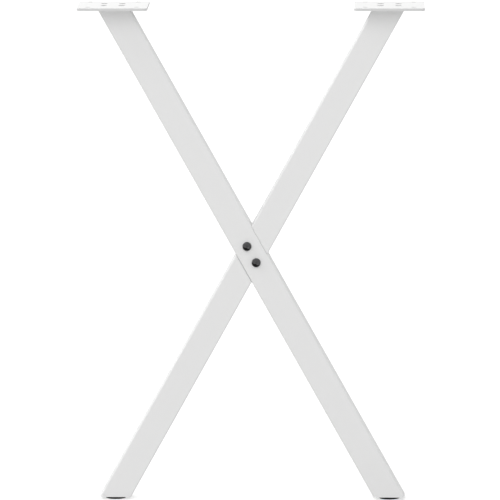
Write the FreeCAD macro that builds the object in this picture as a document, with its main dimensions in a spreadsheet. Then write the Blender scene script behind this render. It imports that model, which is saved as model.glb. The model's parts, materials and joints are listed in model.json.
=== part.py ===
"""X shaped table leg of two square tubes that cross in a flush lap, in millimetres.

+Z is up, +X runs from the left foot to the right foot, and -Y is the front, where the heads of
the two cross bolts show. The origin lies on the floor, midway between the feet.
"""
import FreeCAD, Part
import os
import Sketcher

SIZES = {
    # The leg as a whole: floor to table top, and between the centres of its two plates or feet
    "leg_height": 725,
    "spread": 400,
    # Square tubes, and how they are let into each other
    "bar_side": 40,
    "bar_wall": 1.5,
    "bar_corner": 2.25,
    "lap_gap": 0.1,
    "lap_thickness": 3,
    "weld_gap": 0.1,
    # Plates under the table top
    "plate_side": 102,
    "plate_thickness": 4,
    "plate_corner": 5,
    "edge_bevel": 0.3,
    "screw_spacing": 70,
    "screw_hole": 7,
    "drain_spacing": 26,
    "drain_hole": 10,
    # Bolts through the crossing
    "bolt_shank": 8,
    "bolt_clearance": 0.25,
    "bolt_head": 13,
    "bolt_head_height": 4.4,
    "bolt_head_round": 3,
    "bolt_socket": 5,
    "bolt_socket_depth": 2.6,
    "bolt_overrun": 0.5,
    "sleeve_wall": 2,
    "tip_chamfer": 0.8,
    # Welded nuts at the crossing and in the feet
    "nut_flats": 13,
    "nut_height": 6.5,
    "nut_wall_gap": 0.4,
    "thread_gap": 0.05,
    # Levelling feet
    "end_thickness": 3,
    "stud_shank": 8,
    "stud_length": 25,
    "stud_head": 16,
    "stud_head_thickness": 1.2,
    "pad_diameter": 30,
    "pad_height": 3.7,
    "pad_floor": 1.2,
    "pad_gap": 0.3,
    "pad_rim_bevel": 1,
    "pad_top_bevel": 0.5,
}

# Heights of the tubes' two ends above the floor
BAR_TOP = "(Sizes.leg_height - Sizes.plate_thickness)"
BAR_FOOT = "(Sizes.pad_height + Sizes.pad_gap)"

# Lean of both tubes from upright, and the height where their axes cross
LEAN = f"atan(Sizes.spread / ({BAR_TOP} - {BAR_FOOT}))"
CROSSING = f"(({BAR_TOP} + {BAR_FOOT}) / 2)"

# Inside of the square tube
BORE = "(Sizes.bar_side - 2 * Sizes.bar_wall)"
BORE_CORNER = "(Sizes.bar_corner - Sizes.bar_wall)"

# The bolts stand as far apart as their nuts fit between the rear tube's walls
BOLT_REACH = f"(({BORE} / 2 - Sizes.nut_flats / 2 - Sizes.nut_wall_gap) / sin(2 * {LEAN}))"
BOLT_HOLE = "(Sizes.bolt_shank + 2 * Sizes.bolt_clearance)"

# Which way each tube leans, and which way its uncut half faces: front is -1
BARS = {"front": -1, "rear": 1}
SIDES = {"left": -1, "right": 1}
ENDS = {"upper": 1, "lower": -1}


def make_sheet(document):
    """Spreadsheet of the driving dimensions."""
    sheet = document.addObject("Spreadsheet::Sheet", "Sizes")
    for row, (alias, value) in enumerate(SIZES.items(), 1):
        sheet.set(f"A{row}", alias)
        sheet.set(f"B{row}", str(value))
        sheet.setAlias(f"B{row}", alias)
    document.recompute()
    return sheet


def number(sketch, expression):
    """Value of an expression on the sheet, for a sketch's first shape."""
    value = sketch.Document.Sizes.evalExpression(expression)
    return float(getattr(value, "Value", value))


def make_body(document, label, x="0", y="0", z="0", turn="0"):
    """Body whose own frame stands at x, y, z and is turned about the Y axis."""
    body = document.addObject("PartDesign::Body", label)
    body.Label = label
    body.Placement = FreeCAD.Placement(FreeCAD.Vector(), FreeCAD.Rotation(FreeCAD.Vector(0, 1, 0), 1))
    body.setExpression("Placement.Base.x", x)
    body.setExpression("Placement.Base.y", y)
    body.setExpression("Placement.Base.z", z)
    body.setExpression("Placement.Rotation.Angle", turn)
    return body


def make_sketch(body, name, role, offset="0"):
    """Sketch on one of the body's own planes, moved along the plane's normal."""
    sketch = body.newObject("Sketcher::SketchObject", f"{body.Label}_{name}")
    plane = next(item for item in body.Origin.OriginFeatures if item.Role == role)
    sketch.AttachmentSupport = [(plane, "")]
    sketch.MapMode = "FlatFace"
    sketch.setExpression("AttachmentOffset.Base.z", offset)
    return sketch


def bind(sketch, kind, *places, size):
    """Constraint whose value is an expression on the sheet."""
    index = sketch.addConstraint(Sketcher.Constraint(kind, *places, number(sketch, size)))
    sketch.setExpression(f"Constraints[{index}]", size)


def pin_point(sketch, geometry, end, x, y):
    """Hold one point of the sketch at x, y from its origin."""
    bind(sketch, "DistanceX", -1, 1, geometry, end, size=x)
    bind(sketch, "DistanceY", -1, 1, geometry, end, size=y)


def draw_outline(sketch, corners):
    """Closed outline of straight lines through corners given as expressions."""
    points = [FreeCAD.Vector(number(sketch, x), number(sketch, y), 0) for x, y in corners]
    following = points[1:] + points[:1]
    lines = [sketch.addGeometry(Part.LineSegment(a, b)) for a, b in zip(points, following)]
    for line, follower in zip(lines, lines[1:] + lines[:1]):
        sketch.addConstraint(Sketcher.Constraint("Coincident", line, 2, follower, 1))
    for line, (x, y) in zip(lines, corners):
        pin_point(sketch, line, 1, x, y)


def draw_circles(sketch, centres, diameter):
    """Circles of one diameter, with centres given as expressions."""
    for x, y in centres:
        centre = FreeCAD.Vector(number(sketch, x), number(sketch, y), 0)
        circle = sketch.addGeometry(
            Part.Circle(centre, FreeCAD.Vector(0, 0, 1), number(sketch, diameter) / 2)
        )
        pin_point(sketch, circle, 3, x, y)
        bind(sketch, "Diameter", circle, size=diameter)


def draw_rounded_rectangle(sketch, width, depth, radius, centre_x="0"):
    """Rectangle about centre_x, 0 whose corners are quarter circles."""
    quarters = [(1, 1, 0), (-1, 1, 90), (-1, -1, 180), (1, -1, 270)]
    round_off = number(sketch, radius)
    arcs = []
    for across, along, start in quarters:
        x = f"{centre_x} + {across} * ({width} / 2 - {radius})"
        y = f"{along} * ({depth} / 2 - {radius})"
        centre = FreeCAD.Vector(number(sketch, x), number(sketch, y), 0)
        circle = Part.Circle(centre, FreeCAD.Vector(0, 0, 1), round_off)
        first, last = (FreeCAD.Units.Quantity(f"{angle} deg") for angle in (start, start + 90))
        arc = sketch.addGeometry(
            Part.ArcOfCircle(circle, first.getValueAs("rad").Value, last.getValueAs("rad").Value)
        )
        pin_point(sketch, arc, 3, x, y)
        arcs.append(arc)
    bind(sketch, "Radius", arcs[0], size=radius)
    for arc in arcs[1:]:
        sketch.addConstraint(Sketcher.Constraint("Equal", arcs[0], arc))
    for arc, follower in zip(arcs, arcs[1:] + arcs[:1]):
        ends = [sketch.getPoint(arc, 2), sketch.getPoint(follower, 1)]
        line = sketch.addGeometry(Part.LineSegment(*ends))
        sketch.addConstraint(Sketcher.Constraint("Tangent", arc, 2, line, 1))
        sketch.addConstraint(Sketcher.Constraint("Tangent", line, 2, follower, 1))


def draw_hexagon(sketch, flats):
    """Hexagon whose upright sides are the given distance apart."""
    corner = f"{flats} / sqrt(3)"
    shoulder = f"{flats} / sqrt(3) / 2"
    draw_outline(sketch, [
        (f"{flats} / 2", f"-{shoulder}"),
        (f"{flats} / 2", shoulder),
        ("0", corner),
        (f"-{flats} / 2", shoulder),
        (f"-{flats} / 2", f"-{shoulder}"),
        ("0", f"-{corner}"),
    ])


def add_pad(body, sketch, length, backwards=False, length_back=None):
    """Solid made by pushing a sketch along its normal, and against it by length_back."""
    pad = body.newObject("PartDesign::Pad", f"{sketch.Name}_pad")
    pad.Profile = sketch
    pad.Reversed = backwards
    pad.setExpression("Length", length)
    if length_back:
        pad.SideType = "Two sides"
        pad.setExpression("Length2", length_back)
    body.Document.recompute()
    return pad


def add_revolution(body, sketch):
    """Solid made by turning a sketch about its own upright axis."""
    turned = body.newObject("PartDesign::Revolution", f"{sketch.Name}_turned")
    turned.Profile = sketch
    turned.ReferenceAxis = (sketch, ["V_Axis"])
    body.Document.recompute()
    return turned


def add_pocket(body, sketch, depth=None, side="One side", backwards=False):
    """Cut a sketch into the body, right through it when no depth is given."""
    before = body.Shape.Volume
    pocket = body.newObject("PartDesign::Pocket", f"{sketch.Name}_pocket")
    pocket.Profile = sketch
    pocket.Reversed = backwards
    pocket.SideType = side
    if depth:
        pocket.setExpression("Length", depth)
    else:
        pocket.Type = "ThroughAll"
    body.Document.recompute()
    if body.Shape.Volume >= before:
        raise RuntimeError(f"{pocket.Name} cuts nothing")
    return pocket


def dress_edges(body, kind, size_name, size, chosen):
    """Fillet or chamfer on the edges of the body's last feature that are chosen."""
    base = body.Tip
    edges = [f"Edge{index}" for index, edge in enumerate(base.Shape.Edges, 1) if chosen(edge)]
    if not edges:
        raise RuntimeError(f"{body.Label} has no edge for its {kind.lower()}")
    dressed = body.newObject(f"PartDesign::{kind}", f"{base.Name}_{kind.lower()}")
    dressed.Base = (base, edges)
    dressed.setExpression(size_name, size)
    body.Document.recompute()
    return dressed


def is_rim(edge, radius, axis, height):
    """Whether an edge is the circle of that radius at that height along an axis."""
    curve = edge.Curve
    return (
        isinstance(curve, Part.Circle)
        and abs(curve.Radius - radius) < Part.Precision.confusion()
        and abs(curve.Center.dot(axis) - height) < Part.Precision.confusion()
    )


def lap_line(lean_side, x, edge):
    """Height on a tube where the other tube's side line crosses x, from the lap's centre.

    The other tube lies at twice the lean, so its side is x cos(2 lean) + z sin(2 lean) = half.
    """
    half = "(Sizes.bar_side / 2 + Sizes.lap_gap)"
    return f"({edge} * {half} - ({x}) * cos(2 * {LEAN})) / ({lean_side} * sin(2 * {LEAN}))"


def lap_outline(lean_side, half_width):
    """Corners of the lap between a tube's side lines and the other tube's side lines."""
    return [
        (f"-{half_width}", lap_line(lean_side, f"-{half_width}", -1)),
        (half_width, lap_line(lean_side, half_width, -1)),
        (half_width, lap_line(lean_side, half_width, 1)),
        (f"-{half_width}", lap_line(lean_side, f"-{half_width}", 1)),
    ]


def bolt_spots(off_axis):
    """Centres of both bolts on a tube that lies at an angle from the front tube."""
    return [
        (f"-{end} * {BOLT_REACH} * sin({off_axis})", f"{end} * {BOLT_REACH} * cos({off_axis})")
        for end in ENDS.values()
    ]


def make_bar(document, name, lean_side):
    """Square tube with level ends, and half its depth cut away where the other one crosses."""
    body = make_body(document, f"{name}_bar", z=CROSSING, turn=f"{lean_side} * {LEAN}")
    up = f"(({BAR_TOP} - {CROSSING}) / cos({LEAN}))"
    down = f"(({CROSSING} - {BAR_FOOT}) / cos({LEAN}))"

    section = make_sketch(body, "section", "XY_Plane")
    draw_rounded_rectangle(section, "Sizes.bar_side", "Sizes.bar_side", "Sizes.bar_corner")
    draw_rounded_rectangle(section, BORE, BORE, BORE_CORNER)
    add_pad(body, section, f"{up} + Sizes.bar_side", length_back=f"{down} + Sizes.bar_side")

    rise = f"{lean_side} * Sizes.bar_side * tan({LEAN})"
    for end, level, beyond in (("top", up, 1), ("foot", f"-{down}", -1)):
        waste = make_sketch(body, f"{end}_cut", "XZ_Plane")
        far = f"{level} + {beyond} * 3 * Sizes.bar_side"
        draw_outline(waste, [
            ("-Sizes.bar_side", f"{level} - {rise}"),
            ("Sizes.bar_side", f"{level} + {rise}"),
            ("Sizes.bar_side", far),
            ("-Sizes.bar_side", far),
        ])
        add_pocket(body, waste, side="Symmetric")

    notch = make_sketch(body, "notch", "XZ_Plane")
    draw_outline(notch, lap_outline(lean_side, "Sizes.bar_side"))
    add_pocket(body, notch, backwards=lean_side > 0)

    if name == "front":
        holes = make_sketch(body, "bolt_holes", "XZ_Plane")
        draw_circles(holes, bolt_spots("0"), BOLT_HOLE)
        add_pocket(body, holes, backwards=True)
    return body


def make_lap_plate(document, name, lean_side):
    """Plate welded across a tube's cut, with its outer face in the middle of the lap."""
    body = make_body(document, f"{name}_lap_plate", z=CROSSING, turn=f"{lean_side} * {LEAN}")
    outline = make_sketch(body, "outline", "XZ_Plane")
    draw_outline(outline, lap_outline(lean_side, f"({BORE} / 2 - Sizes.weld_gap)"))
    add_pad(body, outline, "Sizes.lap_thickness", backwards=lean_side > 0)

    holes = make_sketch(body, "bolt_holes", "XZ_Plane")
    off_axis = "0" if name == "front" else f"2 * {LEAN}"
    draw_circles(holes, bolt_spots(off_axis), BOLT_HOLE)
    add_pocket(body, holes, side="Symmetric")
    return body


def make_cross_body(document, label, end, y):
    """Body on a cross bolt's axis, turned with the rear tube so that flats meet its walls."""
    return make_body(
        document,
        label,
        x=f"-{end} * {BOLT_REACH} * sin({LEAN})",
        y=y,
        z=f"{CROSSING} + {end} * {BOLT_REACH} * cos({LEAN})",
        turn=LEAN,
    )


def make_cross_bolt(document, name, end):
    """Button-head bolt with a hexagon socket, its head seated on the front tube."""
    body = make_cross_body(document, f"{name}_cross_bolt", end, "-Sizes.bar_side / 2")
    reach = (
        "(Sizes.bar_side / 2 + Sizes.lap_thickness + Sizes.nut_height + Sizes.bolt_overrun)"
    )
    profile = make_sketch(body, "profile", "XY_Plane")
    draw_outline(profile, [
        ("0", "-Sizes.bolt_head_height"),
        ("Sizes.bolt_head / 2", "-Sizes.bolt_head_height"),
        ("Sizes.bolt_head / 2", "0"),
        ("Sizes.bolt_shank / 2", "0"),
        ("Sizes.bolt_shank / 2", reach),
        ("0", reach),
    ])
    add_revolution(body, profile)

    axis = FreeCAD.Vector(0, 1, 0)
    head_top = -number(profile, "Sizes.bolt_head_height")
    head_radius = number(profile, "Sizes.bolt_head / 2")
    dress_edges(
        body, "Fillet", "Radius", "Sizes.bolt_head_round",
        lambda edge: is_rim(edge, head_radius, axis, head_top),
    )
    tip = number(profile, reach)
    shank_radius = number(profile, "Sizes.bolt_shank / 2")
    dress_edges(
        body, "Chamfer", "Size", "Sizes.tip_chamfer",
        lambda edge: is_rim(edge, shank_radius, axis, tip),
    )

    socket = make_sketch(body, "socket", "XZ_Plane", offset="Sizes.bolt_head_height")
    draw_hexagon(socket, "Sizes.bolt_socket")
    add_pocket(body, socket, depth="Sizes.bolt_socket_depth")
    return body


def make_cross_sleeve(document, name, end):
    """Spacer tube round a bolt, from the front wall's inside to the front lap plate."""
    inside = "(Sizes.bar_wall - Sizes.bar_side / 2)"
    body = make_cross_body(document, f"{name}_cross_sleeve", end, inside)
    ring = make_sketch(body, "ring", "XZ_Plane")
    draw_circles(ring, [("0", "0")], BOLT_HOLE)
    draw_circles(ring, [("0", "0")], f"{BOLT_HOLE} + 2 * Sizes.sleeve_wall")
    add_pad(body, ring, f"-{inside} - Sizes.lap_thickness", backwards=True)
    return body


def shape_nut(body, role, shank, backwards=False):
    """Hexagon nut standing on the body's origin, with its thread's bore."""
    outline = make_sketch(body, "outline", role)
    draw_hexagon(outline, "Sizes.nut_flats")
    draw_circles(outline, [("0", "0")], f"{shank} + 2 * Sizes.thread_gap")
    add_pad(body, outline, "Sizes.nut_height", backwards=backwards)


def make_cross_nut(document, name, end):
    """Nut welded behind the rear lap plate."""
    body = make_cross_body(document, f"{name}_cross_nut", end, "Sizes.lap_thickness")
    shape_nut(body, "XZ_Plane", "Sizes.bolt_shank", backwards=True)
    return body


def square_spots(spacing):
    """Corners of a square about the origin."""
    return [
        (f"{across} * {spacing} / 2", f"{along} * {spacing} / 2")
        for across in SIDES.values()
        for along in SIDES.values()
    ]


def make_top_plate(document, name, side):
    """Square plate under the table top, with screw holes and drain holes over the tube."""
    body = make_body(document, f"{name}_top_plate", x=f"{side} * Sizes.spread / 2", z=BAR_TOP)
    outline = make_sketch(body, "outline", "XY_Plane")
    draw_rounded_rectangle(outline, "Sizes.plate_side", "Sizes.plate_side", "Sizes.plate_corner")
    add_pad(body, outline, "Sizes.plate_thickness")
    dress_edges(
        body, "Chamfer", "Size", "Sizes.edge_bevel",
        lambda edge: edge.BoundBox.ZLength < Part.Precision.confusion(),
    )
    for kind in ("screw", "drain"):
        holes = make_sketch(body, f"{kind}_holes", "XY_Plane")
        draw_circles(holes, square_spots(f"Sizes.{kind}_spacing"), f"Sizes.{kind}_hole")
        add_pocket(body, holes, side="Symmetric")
    return body


def make_end_plate(document, name, side):
    """Plate welded into a tube's level lower end, with a hole for the foot's stud."""
    body = make_body(document, f"{name}_end_plate", x=f"{side} * Sizes.spread / 2", z=BAR_FOOT)
    # The walls lean inwards over the plate's thickness, so its square edges stand back from one
    drift = f"(Sizes.end_thickness * tan({LEAN}))"
    outline = make_sketch(body, "outline", "XY_Plane")
    draw_rounded_rectangle(
        outline,
        f"({BORE} / cos({LEAN}) - {drift} - 2 * Sizes.weld_gap)",
        f"({BORE} - 2 * Sizes.weld_gap)",
        f"({BORE_CORNER} / cos({LEAN}) + Sizes.weld_gap)",
        centre_x=f"-{side} * {drift} / 2",
    )
    add_pad(body, outline, "Sizes.end_thickness")

    hole = make_sketch(body, "stud_hole", "XY_Plane")
    draw_circles(hole, [("0", "0")], "(Sizes.stud_shank + 2 * Sizes.bolt_clearance)")
    add_pocket(body, hole, side="Symmetric")
    return body


def make_foot_nut(document, name, side):
    """Nut welded on the end plate, inside the tube."""
    height = f"{BAR_FOOT} + Sizes.end_thickness"
    body = make_body(document, f"{name}_foot_nut", x=f"{side} * Sizes.spread / 2", z=height)
    shape_nut(body, "XY_Plane", "Sizes.stud_shank")
    return body


def make_foot_stud(document, name, side):
    """Threaded stud whose flat head the foot's pad is moulded round."""
    body = make_body(document, f"{name}_foot_stud", x=f"{side} * Sizes.spread / 2")
    head_top = "(Sizes.pad_floor + Sizes.stud_head_thickness)"
    tip = "(Sizes.pad_height + Sizes.stud_length)"
    profile = make_sketch(body, "profile", "XZ_Plane")
    draw_outline(profile, [
        ("0", "Sizes.pad_floor"),
        ("Sizes.stud_head / 2", "Sizes.pad_floor"),
        ("Sizes.stud_head / 2", head_top),
        ("Sizes.stud_shank / 2", head_top),
        ("Sizes.stud_shank / 2", tip),
        ("0", tip),
    ])
    add_revolution(body, profile)
    shank_radius = number(profile, "Sizes.stud_shank / 2")
    tip_height = number(profile, tip)
    dress_edges(
        body, "Chamfer", "Size", "Sizes.tip_chamfer",
        lambda edge: is_rim(edge, shank_radius, FreeCAD.Vector(0, 0, 1), tip_height),
    )
    return body


def make_foot_pad(document, name, side):
    """Round pad with a bevelled rim, hollow where the stud's head and shank are held."""
    body = make_body(document, f"{name}_foot_pad", x=f"{side} * Sizes.spread / 2")
    head_top = "(Sizes.pad_floor + Sizes.stud_head_thickness)"
    profile = make_sketch(body, "profile", "XZ_Plane")
    draw_outline(profile, [
        ("0", "0"),
        ("Sizes.pad_diameter / 2", "0"),
        ("Sizes.pad_diameter / 2", "Sizes.pad_height"),
        ("Sizes.stud_shank / 2", "Sizes.pad_height"),
        ("Sizes.stud_shank / 2", head_top),
        ("Sizes.stud_head / 2", head_top),
        ("Sizes.stud_head / 2", "Sizes.pad_floor"),
        ("0", "Sizes.pad_floor"),
    ])
    add_revolution(body, profile)
    radius = number(profile, "Sizes.pad_diameter / 2")
    for height, size in (("0", "Sizes.pad_rim_bevel"), ("Sizes.pad_height", "Sizes.pad_top_bevel")):
        level = number(profile, height)
        dress_edges(
            body, "Chamfer", "Size", size,
            lambda edge: is_rim(edge, radius, FreeCAD.Vector(0, 0, 1), level),
        )
    return body


def make_leg(document):
    """All pieces of the leg."""
    pieces = []
    for name, lean_side in BARS.items():
        pieces.append(make_bar(document, name, lean_side))
        pieces.append(make_lap_plate(document, name, lean_side))
    for name, end in ENDS.items():
        pieces.append(make_cross_bolt(document, name, end))
        pieces.append(make_cross_sleeve(document, name, end))
        pieces.append(make_cross_nut(document, name, end))
    for name, side in SIDES.items():
        pieces.append(make_top_plate(document, name, side))
        pieces.append(make_end_plate(document, name, side))
        pieces.append(make_foot_nut(document, name, side))
        pieces.append(make_foot_stud(document, name, side))
        pieces.append(make_foot_pad(document, name, side))
    return pieces


def check_leg(document, pieces):
    """Stop if a feature failed or a piece isn't one sound solid."""
    for item in document.Objects:
        if {"Invalid", "Error"} & set(item.State):
            raise RuntimeError(f"{item.Label} failed: {item.State}")
    for piece in pieces:
        shape = piece.Shape
        if shape.isNull() or not shape.isValid() or len(shape.Solids) != 1:
            raise RuntimeError(f"{piece.Label} isn't one sound solid")


def main():
    """Build the leg, check it and write each piece to its own file."""
    document = FreeCAD.newDocument("x_table_leg")
    make_sheet(document)
    pieces = make_leg(document)
    document.recompute()
    check_leg(document, pieces)
    os.makedirs("parts", exist_ok=True)
    for piece in pieces:
        piece.Shape.exportStep(os.path.join("parts", f"{piece.Label}.step"))


main()
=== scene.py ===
"""Looks of the X shaped table leg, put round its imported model, in metres.

The two tubes, their plates and the lap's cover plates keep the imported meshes. Turned, hexagonal
and threaded pieces, the pads and the weld beads are surfaces worked out here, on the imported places.
"""
import json
import math

import bpy
import numpy
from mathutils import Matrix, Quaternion, Vector


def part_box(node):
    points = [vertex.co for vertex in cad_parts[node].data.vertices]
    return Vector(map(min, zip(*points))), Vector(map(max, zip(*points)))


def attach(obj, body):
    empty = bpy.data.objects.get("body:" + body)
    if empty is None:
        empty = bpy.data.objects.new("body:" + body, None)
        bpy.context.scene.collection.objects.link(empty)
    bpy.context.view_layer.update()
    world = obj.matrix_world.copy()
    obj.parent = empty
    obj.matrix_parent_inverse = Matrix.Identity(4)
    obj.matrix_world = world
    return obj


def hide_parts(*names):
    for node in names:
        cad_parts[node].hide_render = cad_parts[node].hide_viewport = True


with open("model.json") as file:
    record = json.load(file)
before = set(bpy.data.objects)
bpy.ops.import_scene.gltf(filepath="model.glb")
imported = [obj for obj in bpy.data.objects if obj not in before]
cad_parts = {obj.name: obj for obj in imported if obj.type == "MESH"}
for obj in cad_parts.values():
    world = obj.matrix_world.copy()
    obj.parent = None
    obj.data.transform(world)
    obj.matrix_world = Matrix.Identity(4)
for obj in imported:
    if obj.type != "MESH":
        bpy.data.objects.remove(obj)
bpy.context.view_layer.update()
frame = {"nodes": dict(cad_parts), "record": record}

# Sides of the leg, and ends of the crossing
SIDES = ("left", "right")
ENDS = ("upper", "lower")

# Angles of a ring's points, straight pieces in an arc, and the angle from which a fold is an edge
AROUND = numpy.radians(numpy.arange(0, 360, 5))
ARC_STEPS = 8
EDGE_ANGLE = math.radians(28)

# M8 bolts and studs: radius, bevelled tip, and the room between them and a nut's bore
BOLT_SHANK = 0.004
TIP_BEVEL = 0.0008
BORE_ROOM = 0.00005

# M8 thread: its rise in one turn, its depth, rings drawn in each turn, and flats of crest and root
PITCH = 0.00125
THREAD_DEPTH = 0.0007
THREAD_STEPS = 10
CREST_SHARE = 0.12
ROOT_SHARE = 0.16

# Cross bolts: dome, hexagon socket with its bevel and drill point, and the neck under the head
HEAD_ROUND = 0.003
SOCKET_FLATS = 0.005
SOCKET_DEPTH = 0.0026
SOCKET_BEVEL = 0.00025
DRILL_RADIUS = 0.0022
DRILL_POINT = 0.0006
PLAIN_NECK = 0.003

# Rings of a cross bolt's head that lie on the socket's floor and on its mouth's bevel
FLOOR_RINGS = slice(0, 2)
MOUTH_RINGS = slice(3, 5)

# Painted light in the socket: how much its floor gets, where the mouth has 1 as a painted highlight with
# driver wear, and how far that fades
SOCKET_FLOOR_LIGHT_AND_RUB = 0.5
HIGHLIGHT_FADE_DOWN = 0.00025
HIGHLIGHT_FADE_OUT = 0.000125

# Direction of the painted shade on the bolts' heads: down and a little to the left
PAINTED_SHADE_SIDE = numpy.array((-0.35, 0.0, -0.94))

# Broken edges of the bolts' heads and the sleeves, and a sleeve's wall
BURR_BEVEL = 0.00025
SLEEVE_WALL = 0.002

# Nuts: distance across flats, share of it that a face's round land has, bevel's slope, countersink
NUT_FLATS = 0.013
NUT_LAND = 0.95
NUT_SLOPE = math.tan(math.radians(30))
COUNTERSINK = 0.0005

# Levelling feet: height of the stud's head, and the pad's rims, hollow underside and moulded groove
STUD_HEAD = 0.0012
PAD_RIM = 0.001
PAD_TOP_RIM = 0.0005
PAD_HOLLOW = 0.0004
PAD_HOLLOW_RADIUS = 0.0102
PAD_GROOVE_RADIUS = 0.0115
PAD_GROOVE = 0.0002

# Weld beads: radius, ripples, points along and round a bead, and the tube's corner that it follows
BEAD_RADIUS = 0.0014
BEAD_RIPPLE = 0.07
BEAD_RIPPLE_LENGTH = 0.0021
BEAD_POINTS = 480
BEAD_AROUND = numpy.radians(numpy.arange(0, 360, 30))
BAR_CORNER = 0.00225

# Powder coat: thick and thin, its painted shade on upright cut faces, levelness squared from that
# painted shade to flat, and relief
THICK_COAT = (0.871, 0.871, 0.868)
THIN_COAT = (0.860, 0.860, 0.858)
PAINTED_SHADE_COAT = (0.71, 0.71, 0.708)
SHADE_TO_FLAT = (0.25, 0.75)
COAT_RELIEF = 0.00003

# Black oxide plain, rubbed with a painted highlight, and near black under painted shade, where that
# painted shade begins, and its relief
PLAIN_OXIDE = (0.080, 0.080, 0.082)
RUBBED_HIGHLIGHT_OXIDE = (0.30, 0.30, 0.31)
PAINTED_SHADE_OXIDE = (0.002, 0.002, 0.002)
PAINTED_SHADE_EDGE = (0.32, 0.46)
OXIDE_RELIEF = 0.00001

# Zinc plate from pale to grey, black plastic from dark to less dark, and their relief
PALE_ZINC = (0.66, 0.67, 0.69)
GREY_ZINC = (0.56, 0.57, 0.58)
ZINC_RELIEF = 0.000008
DARK_PLASTIC = (0.008, 0.008, 0.009)
WORN_PLASTIC = (0.014, 0.014, 0.014)
PLASTIC_RELIEF = 0.00004

# Camera of the photograph: aim, distance, how far it looks down, stands aside and rolls, and lens
AIM = Vector((-0.0028, 0, 0.3662))
VIEW_DISTANCE = 9.0
VIEW_DOWN = math.radians(8.3)
VIEW_ASIDE = math.radians(1.4)
VIEW_ROLL = math.radians(-0.14)
SENSOR = 36
LENS = 445.2

# Floor: its size, its grey and glow, the glow that it gains away from the leg, and over what stretch
FLOOR_REACH = 30
FLOOR_TONE = 0.58
FLOOR_LIFT = 0.60
FLOOR_FAR_LIFT = 0.15
FLOOR_FADE = (0.5, 3.0)

# Sky's level, and the lamps: their distance, and directions about as long as their levels at the leg
SKY_LEVEL = 0.70
LAMP_DISTANCE = 8
LAMPS = {
    "key": {"towards": (-0.25, 0.0, 0.305), "size": 6.0},
    "front": {"towards": (0.0, -0.187, 0.125), "size": 6.0},
}


class Wire:
    """Output of a node; arithmetic on it adds Math nodes."""

    def __init__(self, nodes, socket):
        self.nodes = nodes
        self.socket = socket

    def maths(self, operation, first, second):
        return self.nodes.add("ShaderNodeMath", {"operation": operation}, {0: first, 1: second})

    def __add__(self, other):
        return self.maths("ADD", self, other)

    def __mul__(self, other):
        return self.maths("MULTIPLY", self, other)

    __radd__ = __add__
    __rmul__ = __mul__


class Nodes:
    """Node tree of one material or of the world, filled node by node."""

    def __init__(self, owner):
        owner.use_nodes = True
        self.tree = owner.node_tree
        self.tree.nodes.clear()

    @staticmethod
    def find(sockets, key):
        """The socket of that number, or the one in use that has that name."""
        if isinstance(key, int):
            return sockets[key]
        return next(socket for socket in sockets if socket.enabled and socket.name == key)

    def add(self, kind, settings=None, sockets=None, output=0):
        """New node: its settings come first, then a value or a wire for each of its sockets."""
        node = self.tree.nodes.new(kind)
        for name, value in (settings or {}).items():
            setattr(node, name, value)
        for key, value in (sockets or {}).items():
            socket = self.find(node.inputs, key)
            if isinstance(value, Wire):
                self.tree.links.new(value.socket, socket)
            else:
                socket.default_value = value
        return Wire(self, self.find(node.outputs, output)) if node.outputs else None

    def noise(self, size, detail, shift=(0, 0, 0)):
        """Noise from 0 to 1 whose patches are about that many metres wide on the piece."""
        place = self.add("ShaderNodeTexCoord", output="Object")
        place = self.add("ShaderNodeMapping", sockets={"Vector": place, "Location": shift})
        return self.add(
            "ShaderNodeTexNoise", sockets={"Vector": place, "Scale": 1 / size, "Detail": detail}
        )

    def facing(self, direction):
        """From -1 to 1, how squarely the surface faces that direction."""
        normal = self.add("ShaderNodeNewGeometry", output="Normal")
        return self.add(
            "ShaderNodeVectorMath",
            {"operation": "DOT_PRODUCT"},
            {0: normal, 1: direction},
            output="Value",
        )

    def attribute(self, name):
        """Value that the piece's mesh keeps at each point under that name."""
        return self.add("ShaderNodeAttribute", {"attribute_name": name}, output="Fac")

    def blend(self, share, first, second):
        """Colour that goes from the first to the second as share goes from 0 to 1."""
        first, second = (
            colour if isinstance(colour, Wire) else (*colour, 1) for colour in (first, second)
        )
        return self.add(
            "ShaderNodeMix",
            {"data_type": "RGBA"},
            {"Factor": share, "A": first, "B": second},
            output="Result",
        )

    def spread(self, value, low, high):
        """Value stretched so that low becomes 0 and high becomes 1, held within both."""
        return self.add(
            "ShaderNodeMapRange", sockets={"Value": value, "From Min": low, "From Max": high}
        )

    def relief(self, height, depth):
        """Normal of a surface whose height goes up and down by depth, in metres."""
        return self.add("ShaderNodeBump", sockets={"Height": height, "Distance": depth})

    def finish(self, **sockets):
        """Principled surface with these sockets, put on the material's output."""
        names = {name.replace("_", " "): value for name, value in sockets.items()}
        surface = self.add("ShaderNodeBsdfPrincipled", sockets=names)
        self.add("ShaderNodeOutputMaterial", sockets={"Surface": surface})


def powder_coat(name="powder_coat", shade_tone=None):
    """Satin white powder coat: a fine orange peel, and a tone that drifts a little with thickness.

    Where a shade tone is given, upright faces get it as painted shade, greyer on cut edges and in holes.
    """
    material = bpy.data.materials.new(name)
    nodes = Nodes(material)
    drift = nodes.noise(0.12, detail=3)
    peel = nodes.noise(0.0011, detail=1, shift=(3, 1, 2))
    grain = nodes.noise(0.00035, detail=0, shift=(5, 7, 4))
    colour = nodes.blend(drift, THICK_COAT, THIN_COAT)
    if shade_tone:
        # Painted shade: upright faces, the plates' cut edges and hole walls, get the greyer tone
        level = nodes.facing((0, 0, 1))
        colour = nodes.blend(nodes.spread(level * level, *SHADE_TO_FLAT), shade_tone, colour)
    nodes.finish(
        Base_Color=colour,
        Roughness=0.54 + 0.07 * drift + 0.05 * grain,
        Specular_IOR_Level=0.2,
        Normal=nodes.relief(peel + 0.3 * grain, COAT_RELIEF),
    )
    return material


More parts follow.
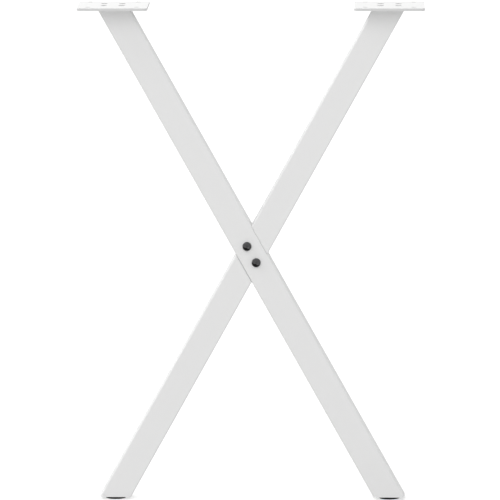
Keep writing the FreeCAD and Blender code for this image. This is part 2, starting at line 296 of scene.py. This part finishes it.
def black_bolt():
    """Black oxide on steel, dark grey, with painted shade that turns the head's lower left side black.

    The socket's mouth is lighter, driver wear with a painted highlight, and its floor has painted light
    half as strong.
    """
    material = bpy.data.materials.new("black_bolt")
    nodes = Nodes(material)
    cloud = nodes.noise(0.004, detail=3)
    grain = nodes.noise(0.00025, detail=2, shift=(2, 2, 5))
    # Painted highlight with driver wear on the socket's mouth, and painted light on its floor
    light_and_rub = nodes.attribute("rub_and_highlight") * (0.3 + 0.5 * cloud)
    # Painted shade: the head's lower left side is painted near black
    painted_shade = nodes.spread(nodes.attribute("lowness") + 0.12 * cloud, *PAINTED_SHADE_EDGE)
    unshaded = nodes.blend(light_and_rub, PLAIN_OXIDE, RUBBED_HIGHLIGHT_OXIDE)
    nodes.finish(
        Base_Color=nodes.blend(painted_shade, unshaded, PAINTED_SHADE_OXIDE),
        Roughness=0.34 + 0.12 * cloud + 0.08 * grain,
        Specular_IOR_Level=0.1,
        Normal=nodes.relief(grain, OXIDE_RELIEF),
    )
    return material


def zinc_steel():
    """Bright zinc plate: metal with a cloudy sheen and fine scratches."""
    material = bpy.data.materials.new("zinc_steel")
    nodes = Nodes(material)
    cloud = nodes.noise(0.003, detail=3)
    grain = nodes.noise(0.0002, detail=2, shift=(4, 1, 1))
    nodes.finish(
        Base_Color=nodes.blend(cloud, PALE_ZINC, GREY_ZINC),
        Roughness=0.24 + 0.14 * cloud + 0.06 * grain,
        Metallic=1.0,
        Normal=nodes.relief(grain, ZINC_RELIEF),
    )
    return material


def black_plastic():
    """Moulded black plastic with a fine matt grain."""
    material = bpy.data.materials.new("black_plastic")
    nodes = Nodes(material)
    cloud = nodes.noise(0.006, detail=3)
    grain = nodes.noise(0.0004, detail=2, shift=(1, 6, 3))
    nodes.finish(
        Base_Color=nodes.blend(cloud, DARK_PLASTIC, WORN_PLASTIC),
        Roughness=0.48 + 0.10 * cloud + 0.10 * grain,
        Specular_IOR_Level=0.2,
        Normal=nodes.relief(grain, PLASTIC_RELIEF),
    )
    return material


FINISHES = {
    "powder_coat": powder_coat(),
    "plate_painted_shade": powder_coat("plate_painted_shade", shade_tone=PAINTED_SHADE_COAT),
    "black_bolt": black_bolt(),
    "zinc_steel": zinc_steel(),
    "black_plastic": black_plastic(),
}
SLOTS = {row["node"]: row["material_slot"] for row in frame["record"]["subparts"]}
PLATES_WITH_PAINTED_SHADE = [f"{side}_top_plate" for side in SIDES]


def corners(node):
    """Lowest and highest corner of a CAD node, as arrays."""
    return [numpy.array(corner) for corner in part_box(node)]


def rings(radius, height):
    """Rings (r cos a, r sin a, h) for the angles a all round, r and h given along them or for each."""
    radius, height = numpy.broadcast_arrays(radius, height, subok=False)
    along = numpy.broadcast_to(AROUND, radius.shape[:1] + AROUND.shape)
    radius, height = radius + 0 * along, height + 0 * along
    return numpy.stack([radius * numpy.cos(along), radius * numpy.sin(along), height], axis=-1)


def turned(*points):
    """Round rings through points (radius, height)."""
    radius, height = numpy.transpose(points)
    return rings(radius[:, None], height[:, None])


def off_flat():
    """Angle of each point of a ring from the middle of the hexagon's nearest side."""
    side = math.pi / 3
    return (AROUND + side / 2) % side - side / 2


def hexagonal(*points):
    """Six-sided rings through points (half of the flats' distance, height): r = half / cos(off flat)."""
    half, height = numpy.transpose(points)
    return rings(half[:, None] / numpy.cos(off_flat()), height[:, None])


def rounded(centre, radius, start, end):
    """Points of an arc: centre + radius (cos a, sin a), with a even from start to end in degrees."""
    angles = numpy.radians(numpy.linspace(start, end, ARC_STEPS + 1))
    return [(centre[0] + radius * math.cos(a), centre[1] + radius * math.sin(a)) for a in angles]


def threaded(radius, start, end, depth):
    """Rings of a right-hand thread cut depth deep: r = radius - depth V(h / pitch - a / turn).

    V is 0 on the crest and 1 in the root, straight in between, and fades out over the first and
    the last turn.
    """
    step = math.copysign(PITCH / THREAD_STEPS, end - start)
    height = numpy.arange(start, end, step)[:, None]
    turns = height / PITCH - AROUND / (2 * math.pi)
    away = numpy.abs(2 * (turns % 1) - 1)
    groove = numpy.clip((away - CREST_SHARE) / (1 - CREST_SHARE - ROOT_SHARE), 0, 1)
    fade = numpy.clip(numpy.minimum(abs(height - start), abs(end - height)) / PITCH, 0, 1)
    return rings(radius - depth * groove * fade, height)


def stand(points, origin, axis, across):
    """Points (x, y, h) moved to origin + x across + y (axis x across) + h axis."""
    basis = numpy.array([across, numpy.cross(axis, across), axis])
    return points @ basis + origin


def enclosed(points, triangles):
    """Volume inside the triangles: a sixth of the sum of a . (b x c)."""
    a, b, c = points[triangles].transpose(1, 0, 2)
    return (a * numpy.cross(b, c)).sum() / 6


def skin(name, grid, poles=()):
    """Closed mesh over a grid of rings: two poles close its ends, or else the last ring meets the
    first. Its faces point outwards, so the volume inside them is above zero.
    """
    rows, columns = grid.shape[:2]
    points = numpy.concatenate([grid.reshape(-1, 3), numpy.reshape(poles, (-1, 3))])
    here = numpy.arange(rows - 1 if len(poles) else rows)[:, None] * columns
    above = (here + columns) % (rows * columns)
    this = numpy.arange(columns)
    following = numpy.roll(this, -1)
    quads = numpy.stack([here + this, here + following, above + following, above + this], axis=-1)
    quads = quads.reshape(-1, 4)
    caps = numpy.zeros((0, 3), int)
    if len(poles):
        first = numpy.full(columns, rows * columns)
        last = (rows - 1) * columns
        caps = numpy.concatenate([
            numpy.stack([first, following, this], axis=-1),
            numpy.stack([first + 1, last + this, last + following], axis=-1),
        ])
    if enclosed(points, numpy.concatenate([quads[:, :3], quads[:, [0, 2, 3]], caps])) < 0:
        quads, caps = quads[:, ::-1], caps[:, ::-1]

    mesh = bpy.data.meshes.new(name)
    mesh.from_pydata(points.tolist(), [], quads.tolist() + caps.tolist())
    mesh.shade_smooth()
    mesh.set_sharp_from_angle(angle=EDGE_ANGLE)
    piece = bpy.data.objects.new(name, mesh)
    bpy.context.collection.objects.link(piece)
    return piece


def dress(piece, slot, body):
    """Finish, material slot and body of a new piece."""
    piece.data.materials.append(FINISHES[slot])
    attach(piece, body)


def stand_in(node, body, grid, poles=()):
    """New piece that takes a CAD node's place, with the node's finish."""
    piece = skin(f"{node}_detailed", grid, poles)
    dress(piece, SLOTS[node], body)
    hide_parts(node)
    return piece


def keep(piece, name, values):
    """Value at each point of a piece, which its material reads."""
    piece.data.attributes.new(name, "FLOAT", "POINT").data.foreach_set("value", values)


def lean():
    """Lean of the tubes from upright, from the places of their ends."""
    low, high = corners("rear_bar")
    left, right = (sum(corners(f"{side}_top_plate"))[0] / 2 for side in SIDES)
    return math.atan2(right - left, high[2] - low[2])


def cross_axis(node, seat):
    """Origin, axis and across of a piece on a cross bolt's axis, which points to the back."""
    middle = sum(corners(node)) / 2
    across = (math.cos(lean()), 0, -math.sin(lean()))
    return numpy.array([middle[0], seat, middle[2]]), numpy.array([0, 1, 0]), numpy.array(across)


def upright_axis(node):
    """Origin, axis and across of a piece that stands on the point below its middle."""
    low, high = corners(node)
    middle = (low + high) / 2
    return numpy.array([middle[0], middle[1], low[2]]), numpy.array([0, 0, 1]), numpy.array([1, 0, 0])


def cross_bolt(node):
    """Button head with a bevelled hexagon socket, then a plain neck and the thread to the tip."""
    low, high = corners(node)
    seat = corners("front_bar")[0][1]
    head = (high[0] - low[0]) / 2
    crown = low[1] - seat
    tip = high[1] - seat
    floor = crown + SOCKET_DEPTH
    flat = SOCKET_FLATS / 2
    grid = numpy.concatenate([
        turned((DRILL_RADIUS, floor)),
        hexagonal(
            (flat, floor),
            (flat, crown + SOCKET_BEVEL + HIGHLIGHT_FADE_DOWN),
            (flat, crown + SOCKET_BEVEL),
            (flat + SOCKET_BEVEL, crown),
            (flat + SOCKET_BEVEL + HIGHLIGHT_FADE_OUT, crown),
        ),
        turned(
            *rounded((head - HEAD_ROUND, crown + HEAD_ROUND), HEAD_ROUND, -90, 0),
            (head, -BURR_BEVEL),
            (head - BURR_BEVEL, 0),
            (BOLT_SHANK, 0),
        ),
        threaded(BOLT_SHANK, PLAIN_NECK, tip - TIP_BEVEL, THREAD_DEPTH),
        turned((BOLT_SHANK, tip - TIP_BEVEL), (BOLT_SHANK - TIP_BEVEL, tip)),
    ])
    poles = numpy.array([(0, 0, floor + DRILL_POINT), (0, 0, tip)])
    place = cross_axis(node, seat)
    piece = stand_in(node, "frame", stand(grid, *place), stand(poles, *place))
    # Painted highlight with driver wear on the socket's mouth, and painted light on its floor
    rub_and_highlight = numpy.zeros(grid.shape[:2])
    rub_and_highlight[FLOOR_RINGS] = SOCKET_FLOOR_LIGHT_AND_RUB
    rub_and_highlight[MOUTH_RINGS] = 1
    keep(piece, "rub_and_highlight", numpy.append(rub_and_highlight, [SOCKET_FLOOR_LIGHT_AND_RUB, 0]))
    # How far each point lies towards the head's lower left, which the material paints black as painted
    # shade
    lowness = (stand(grid, *place) - place[0]) @ PAINTED_SHADE_SIDE / head
    keep(piece, "lowness", numpy.append(lowness, [0, 0]))


def cross_sleeve(node):
    """Spacer tube with broken edges at both ends."""
    low, high = corners(node)
    length = high[1] - low[1]
    outer = (high[0] - low[0]) / 2
    inner = outer - SLEEVE_WALL
    bevel = BURR_BEVEL
    grid = turned(
        (inner, bevel),
        (inner + bevel, 0),
        (outer - bevel, 0),
        (outer, bevel),
        (outer, length - bevel),
        (outer - bevel, length),
        (inner + bevel, length),
        (inner, length - bevel),
    )
    stand_in(node, "frame", stand(grid, *cross_axis(node, low[1])))


def nut(node, height, place):
    """Hexagon nut whose corners are cut by a cone on both faces, with a thread in its bore.

    The cone takes (corner radius - land) tan 30 degrees off the height, and nothing inside the land.
    """
    half = NUT_FLATS / 2
    bore = BOLT_SHANK + BORE_ROOM
    outer = half / numpy.cos(off_flat())
    cut = (outer - NUT_LAND * half) * NUT_SLOPE
    mouth = bore + COUNTERSINK
    grid = numpy.concatenate([
        turned((mouth, 0)),
        threaded(bore, COUNTERSINK, height - COUNTERSINK, -THREAD_DEPTH),
        turned((bore, height - COUNTERSINK), (mouth, height), (NUT_LAND * half, height)),
        rings(outer[None], height - cut[None]),
        rings(outer[None], cut[None]),
        turned((NUT_LAND * half, 0)),
    ])
    stand_in(node, "frame", stand(grid, *place))


def foot_stud(node, body):
    """Stud with a flat head, a plain neck in the pad and a thread up to its bevelled tip."""
    low, high = corners(node)
    length = high[2] - low[2]
    head = (high[0] - low[0]) / 2
    neck = corners(node.replace("stud", "pad"))[1][2] - low[2]
    grid = numpy.concatenate([
        turned((head, 0), (head, STUD_HEAD), (BOLT_SHANK, STUD_HEAD)),
        threaded(BOLT_SHANK, neck, length - TIP_BEVEL, THREAD_DEPTH),
        turned((BOLT_SHANK, length - TIP_BEVEL), (BOLT_SHANK - TIP_BEVEL, length)),
    ])
    poles = numpy.array([(0, 0, 0), (0, 0, length)])
    place = upright_axis(node)
    stand_in(node, body, stand(grid, *place), stand(poles, *place))


def foot_pad(node, body):
    """Round pad with soft rims, a hollow underside and a moulded groove round its top."""
    low, high = corners(node)
    radius = (high[0] - low[0]) / 2
    top = high[2] - low[2]
    head_low, head_high = corners(node.replace("pad", "stud"))
    head = (head_high[0] - head_low[0]) / 2
    floor = head_low[2] - low[2]
    grid = turned(
        (PAD_HOLLOW_RADIUS - PAD_HOLLOW, PAD_HOLLOW),
        (PAD_HOLLOW_RADIUS, 0),
        *rounded((radius - PAD_RIM, PAD_RIM), PAD_RIM, -90, 0),
        *rounded((radius - PAD_TOP_RIM, top - PAD_TOP_RIM), PAD_TOP_RIM, 0, 90),
        *rounded((PAD_GROOVE_RADIUS, top), PAD_GROOVE, 0, -180),
        (BOLT_SHANK, top),
        (BOLT_SHANK, floor + STUD_HEAD),
        (head, floor + STUD_HEAD),
        (head, floor),
    )
    poles = numpy.array([(0, 0, PAD_HOLLOW), (0, 0, floor)])
    place = upright_axis(node)
    stand_in(node, body, stand(grid, *place), stand(poles, *place))


def rounded_rectangle(half_width, half_depth, corner, count):
    """Points evenly spaced along a rectangle's outline with round corners, and its length.

    Each corner is its centre + corner (cos a, sin a), and the straight sides join the corners.
    """
    quarters = [(1, 1, 0), (-1, 1, 90), (-1, -1, 180), (1, -1, 270)]
    outline = numpy.concatenate([
        rounded((x * (half_width - corner), y * (half_depth - corner)), corner, start, start + 90)
        for x, y, start in quarters
    ])
    outline = numpy.concatenate([outline, outline[:1]])
    steps = numpy.linalg.norm(numpy.diff(outline, axis=0), axis=1)
    run = numpy.append(0, numpy.cumsum(steps))
    even = numpy.linspace(0, run[-1], count, endpoint=False)
    return numpy.stack([numpy.interp(even, run, axis) for axis in outline.T], axis=1), run[-1]


def weld_bead(side):
    """Painted weld in the corner between a tube's top end and its plate.

    A round bead is carried along the tube's outline: each point is on the outline + r (n cos b +
    up sin b), where n points away from the tube and r swells and shrinks with the weld's ripples.
    """
    plate_low, plate_high = corners(f"{side}_top_plate")
    middle = (plate_low + plate_high) / 2
    bar_low, bar_high = corners("front_bar")
    half_width = (bar_high[0] - bar_low[0]) / 2 - abs(middle[0])
    half_depth = (bar_high[1] - bar_low[1]) / 2
    outline, length = rounded_rectangle(half_width, half_depth, BAR_CORNER, BEAD_POINTS)
    ahead = numpy.roll(outline, -1, axis=0) - numpy.roll(outline, 1, axis=0)
    outwards = numpy.stack([ahead[:, 1], -ahead[:, 0]], axis=1)
    outwards /= numpy.linalg.norm(outwards, axis=1, keepdims=True)
    ripples = round(length / BEAD_RIPPLE_LENGTH)
    swell = numpy.sin(numpy.arange(BEAD_POINTS) * 2 * math.pi * ripples / BEAD_POINTS)
    radius = (BEAD_RADIUS * (1 + BEAD_RIPPLE * swell))[:, None]
    flat = outline[:, None] + (radius * numpy.cos(BEAD_AROUND))[..., None] * outwards[:, None]
    height = radius * numpy.sin(BEAD_AROUND)
    grid = numpy.concatenate([flat, height[..., None]], axis=-1) + (middle[0], middle[1], plate_low[2])
    dress(skin(f"{side}_weld_bead", grid), "powder_coat", "frame")


def dress_cad_nodes():
    """Finish of each CAD node from its material slot, with painted shade on the top plates' cut edges.
    """
    for name, node in frame["nodes"].items():
        for place in node.material_slots:
            place.material = FINISHES["plate_painted_shade" if name in PLATES_WITH_PAINTED_SHADE else SLOTS[name]]


def background_share(nodes):
    """1 where the camera, a reflection or glass looks straight at a surface, or else 0."""
    camera, glossy, through = (
        nodes.add("ShaderNodeLightPath", output=f"Is {kind} Ray")
        for kind in ("Camera", "Glossy", "Transmission")
    )
    return nodes.spread(camera + glossy + through, 0, 1)


def pale_floor():
    """Pale floor that takes shadows, and fades to the white of the background away from the leg.

    It is white only where it is looked at: the light that it throws back is that of a pale grey.
    """
    material = bpy.data.materials.new("pale_floor")
    nodes = Nodes(material)
    seen = background_share(nodes)
    place = nodes.add("ShaderNodeTexCoord", output="Object")
    away = nodes.add("ShaderNodeVectorMath", {"operation": "LENGTH"}, {0: place}, output="Value")
    lift = FLOOR_LIFT + FLOOR_FAR_LIFT * nodes.spread(away, *FLOOR_FADE)
    nodes.finish(
        Base_Color=(FLOOR_TONE, FLOOR_TONE, FLOOR_TONE, 1),
        Roughness=0.8,
        Emission_Color=nodes.blend(seen * lift, (0, 0, 0), (1, 1, 1)),
        Emission_Strength=1.0,
    )
    return material


def lay_floor():
    """Floor in two halves, each riding on its foot, so that a foot turned out still stands on it."""
    material = pale_floor()
    for side, reach in zip(SIDES, (-FLOOR_REACH, FLOOR_REACH)):
        left, right = sorted((0, reach))
        spots = [
            (left, -FLOOR_REACH, 0),
            (right, -FLOOR_REACH, 0),
            (right, FLOOR_REACH, 0),
            (left, FLOOR_REACH, 0),
        ]
        mesh = bpy.data.meshes.new(f"floor_{side}")
        mesh.from_pydata(spots, [], [(0, 1, 2, 3)])
        mesh.materials.append(material)
        floor = bpy.data.objects.new(f"floor_{side}", mesh)
        bpy.context.collection.objects.link(floor)
        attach(floor, f"{side}_foot")


def light_sky():
    """Even soft light from all round, seen as white by the camera and in reflections."""
    world = bpy.data.worlds.new("studio")
    bpy.context.scene.world = world
    nodes = Nodes(world)
    light, white = (
        nodes.add("ShaderNodeBackground", sockets={"Color": (1, 1, 1, 1), "Strength": level})
        for level in (SKY_LEVEL, 1.0)
    )
    sky = nodes.add("ShaderNodeMixShader", sockets={0: background_share(nodes), 1: light, 2: white})
    nodes.add("ShaderNodeOutputWorld", sockets={"Surface": sky})


def light_lamps():
    """Large lamps, each giving about the level at the leg that is the length of its direction.

    A lamp of power P that is far off lights what faces it at P / (pi distance) squared.
    """
    for name, lamp in LAMPS.items():
        towards = Vector(lamp["towards"])
        light = bpy.data.lights.new(name, "AREA")
        light.shape = "DISK"
        light.size = lamp["size"]
        light.energy = towards.length * (math.pi * LAMP_DISTANCE) ** 2
        holder = bpy.data.objects.new(name, light)
        holder.location = AIM + towards.normalized() * LAMP_DISTANCE
        holder.rotation_euler = towards.to_track_quat("Z", "Y").to_euler()
        bpy.context.collection.objects.link(holder)


def aim_camera():
    """Camera at the photograph's viewing angle."""
    data = bpy.data.cameras.new("camera")
    data.sensor_width = SENSOR
    data.lens = LENS
    data.clip_end = 2 * FLOOR_REACH
    camera = bpy.data.objects.new("camera", data)
    level = math.cos(VIEW_DOWN)
    back = Vector((level * math.sin(VIEW_ASIDE), -level * math.cos(VIEW_ASIDE), math.sin(VIEW_DOWN)))
    camera.location = AIM + back * VIEW_DISTANCE
    turn = back.to_track_quat("Z", "Y") @ Quaternion((0, 0, 1), VIEW_ROLL)
    camera.rotation_euler = turn.to_euler()
    bpy.context.collection.objects.link(camera)
    bpy.context.scene.camera = camera


dress_cad_nodes()
for end in ENDS:
    cross_bolt(f"{end}_cross_bolt")
    cross_sleeve(f"{end}_cross_sleeve")
    low, high = corners(f"{end}_cross_nut")
    nut(f"{end}_cross_nut", high[1] - low[1], cross_axis(f"{end}_cross_nut", low[1]))
for side in SIDES:
    low, high = corners(f"{side}_foot_nut")
    nut(f"{side}_foot_nut", high[2] - low[2], upright_axis(f"{side}_foot_nut"))
    foot_stud(f"{side}_foot_stud", f"{side}_foot")
    foot_pad(f"{side}_foot_pad", f"{side}_foot")
    weld_bead(side)
lay_floor()
light_sky()
light_lamps()
aim_camera()
bpy.context.scene.view_settings.view_transform = "Standard"
